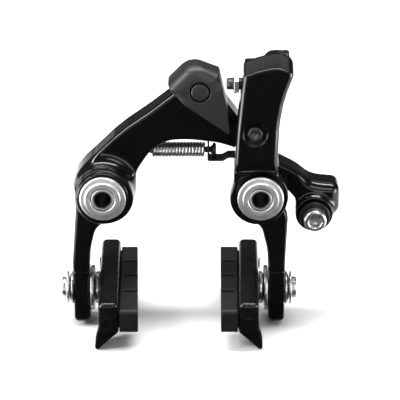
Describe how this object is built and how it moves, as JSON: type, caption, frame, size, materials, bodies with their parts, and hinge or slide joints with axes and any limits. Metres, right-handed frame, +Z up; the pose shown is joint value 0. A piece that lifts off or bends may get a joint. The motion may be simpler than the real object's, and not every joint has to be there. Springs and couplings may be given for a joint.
{
  "type": "direct-mount rim brake caliper",
  "caption": "Direct-mount dual-pivot rim brake caliper: a long curved arm and an upright arm swing on separate posts, with cam roller, return spring and adjustable brake shoes.",
  "frame": {"origin": "midway between the mounting faces of the two pivot posts, on the frame or fork surface that carries the brake", "axes": "+Y points from the front of the brake into the frame along the pivots, +Z up, +X towards the arm with the cable stop"},
  "size_m": [0.112, 0.0565, 0.1164],
  "materials": {
    "arm_gloss_black": "gloss black lacquer",
    "cover_graphite": "matte dark grey",
    "post_silver": "turned satin silver",
    "seal_rubber": "black rubber",
    "bush_bronze": "sintered bronze",
    "washer_steel": "bright steel",
    "bolt_steel": "bright plated steel",
    "holder_black": "satin black",
    "pad_rubber": "dark grey brake rubber",
    "black_steel": "black oxide",
    "black_plastic": "black nylon",
    "spring_steel": "polished spring wire"
  },
  "bodies": {
    "posts": {"left_post": "post_silver", "left_post_cap": "post_silver", "left_seal": "seal_rubber", "left_thrust_washer": "washer_steel", "right_post": "post_silver", "right_post_cap": "post_silver", "right_seal": "seal_rubber", "right_thrust_washer": "washer_steel"},
    "left_arm": {"left_arm": "arm_gloss_black", "left_bush_front": "bush_bronze", "left_bush_rear": "bush_bronze", "link_cover": "cover_graphite", "cover_pin": "cover_graphite", "anchor_plate": "black_steel", "anchor_washer": "black_steel", "anchor_bolt": "bolt_steel", "spring_anchor": "black_plastic"},
    "right_arm": {"right_arm": "arm_gloss_black", "right_bush_front": "bush_bronze", "right_bush_rear": "bush_bronze", "roller_pin": "bolt_steel", "roller_spacer": "washer_steel", "roller_clip": "black_steel", "stop_nut": "bolt_steel", "cable_stop_insert": "black_plastic", "spring_bracket": "black_steel"},
    "stop_screw": {"stop_screw": "bolt_steel"},
    "cam_roller": {"cam_roller": "washer_steel"},
    "return_spring": {"return_spring": "spring_steel"},
    "spring_plug": {"spring_plug": "black_plastic"},
    "left_shoe_carrier": {"left_shoe_bolt": "bolt_steel", "left_outer_washer": "washer_steel", "left_outer_dome_washer": "washer_steel", "left_inner_cup_washer": "washer_steel", "left_inner_dome_washer": "washer_steel"},
    "left_shoe": {"left_shoe_holder": "holder_black", "left_brake_pad": "pad_rubber", "left_pad_screw": "black_steel"},
    "right_shoe_carrier": {"right_shoe_bolt": "bolt_steel", "right_outer_washer": "washer_steel", "right_outer_dome_washer": "washer_steel", "right_inner_cup_washer": "washer_steel", "right_inner_dome_washer": "washer_steel"},
    "right_shoe": {"right_shoe_holder": "holder_black", "right_brake_pad": "pad_rubber", "right_pad_screw": "black_steel"}
  },
  "joints": [
    {"name": "left_arm_pivot", "type": "hinge", "parent": "posts", "child": "left_arm", "pos_m": [-0.031, -0.013, 0], "axis": [0, -1, 0], "range_deg": [0, 9], "stiffness_Nm_per_rad": 0.7, "springref_deg": -28.65},
    {"name": "right_arm_pivot", "type": "hinge", "parent": "posts", "child": "right_arm", "pos_m": [0.031, -0.013, 0], "axis": [0, 1, 0], "range_deg": [0, 9]},
    {"name": "spring_hook_turn", "type": "hinge", "parent": "left_arm", "child": "return_spring", "pos_m": [-0.013, -0.008, 0.0142], "axis": [0, -1, 0], "range_deg": [-8.4, 0]},
    {"name": "spring_stretch", "type": "slide", "parent": "return_spring", "child": "spring_plug", "axis": [1, 0, 0], "range_m": [0, 0.005], "deforming": ["return_spring"]},
    {"name": "roller_spin", "type": "hinge", "parent": "right_arm", "child": "cam_roller", "pos_m": [0.0286, -0.008, 0.0272], "axis": [0, 1, 0], "continuous": true},
    {"name": "stop_screw_travel", "type": "slide", "parent": "right_arm", "child": "stop_screw", "axis": [1, 0, 0], "range_m": [-0.0006, 0.0004]},
    {"name": "left_shoe_height", "type": "slide", "parent": "left_arm", "child": "left_shoe_carrier", "axis": [0, 0, 1], "range_m": [-0.007, 0]},
    {"name": "left_shoe_tilt", "type": "hinge", "parent": "left_shoe_carrier", "child": "left_shoe", "pos_m": [-0.03, -0.013, -0.0444], "axis": [1, 0, 0], "range_deg": [-12, 12]},
    {"name": "right_shoe_height", "type": "slide", "parent": "right_arm", "child": "right_shoe_carrier", "axis": [0, 0, 1], "range_m": [-0.007, 0]},
    {"name": "right_shoe_tilt", "type": "hinge", "parent": "right_shoe_carrier", "child": "right_shoe", "pos_m": [0.03, -0.013, -0.0444], "axis": [1, 0, 0], "range_deg": [-12, 12]}
  ],
  "couplings": [
    {"joint": "right_arm_pivot", "follows": "left_arm_pivot", "ratio": 1},
    {"joint": "spring_hook_turn", "follows": "left_arm_pivot", "ratio": -0.91239},
    {"joint": "spring_stretch", "follows": "left_arm_pivot", "m_per_rad": 0.031318}
  ]
}
